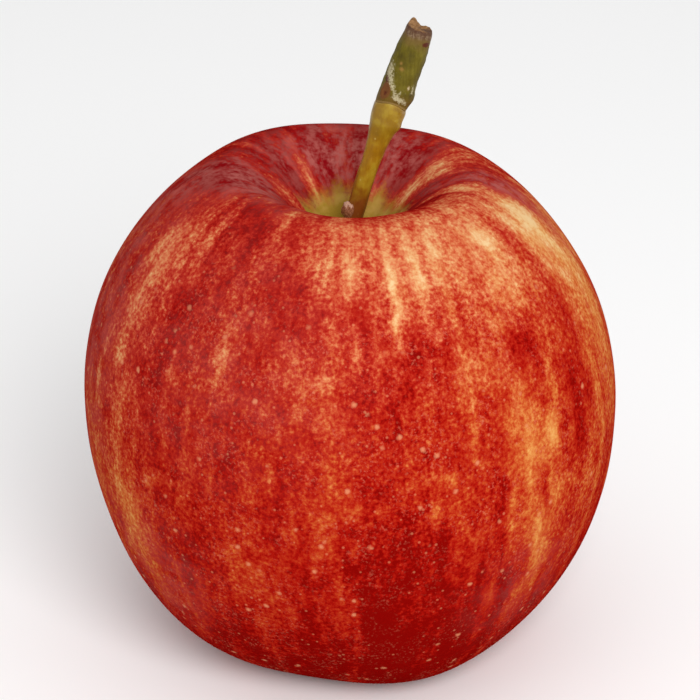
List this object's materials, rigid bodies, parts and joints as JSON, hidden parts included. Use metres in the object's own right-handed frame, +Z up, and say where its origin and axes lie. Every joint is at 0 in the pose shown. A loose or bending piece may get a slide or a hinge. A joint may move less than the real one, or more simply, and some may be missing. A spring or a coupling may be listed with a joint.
{
  "type": "red apple",
  "caption": "Fresh red apple with a striped skin, standing on the lobes of its base, its stem still joined to a short stub of twig.",
  "frame": {"origin": "on the resting plane, under the middle of the fruit", "axes": "+Z up along the core from the calyx to the stem; +X to the side that the stem leans to; -Y is the front of the fruit as the picture shows it"},
  "size_m": [0.074, 0.074, 0.091],
  "materials": {
    "apple_skin": "thin waxy skin, satin to glossy: red streaks over a yellow ground, with pale dots, olive green inside the stem cavity",
    "stem_green_brown": "dry olive to ochre stalk, matt, with faint lengthwise grain and darker at the root",
    "twig_bark": "olive brown young bark with small pale dots and whitish flakes, orange-brown torn wood at the break",
    "dried_calyx": "dry grey-brown sepals and stamens, matt and slightly downy"
  },
  "bodies": {
    "root": {"fruit": "apple_skin", "stem": "stem_green_brown", "spur_stub": "twig_bark", "calyx": "dried_calyx"}
  },
  "joints": []
}
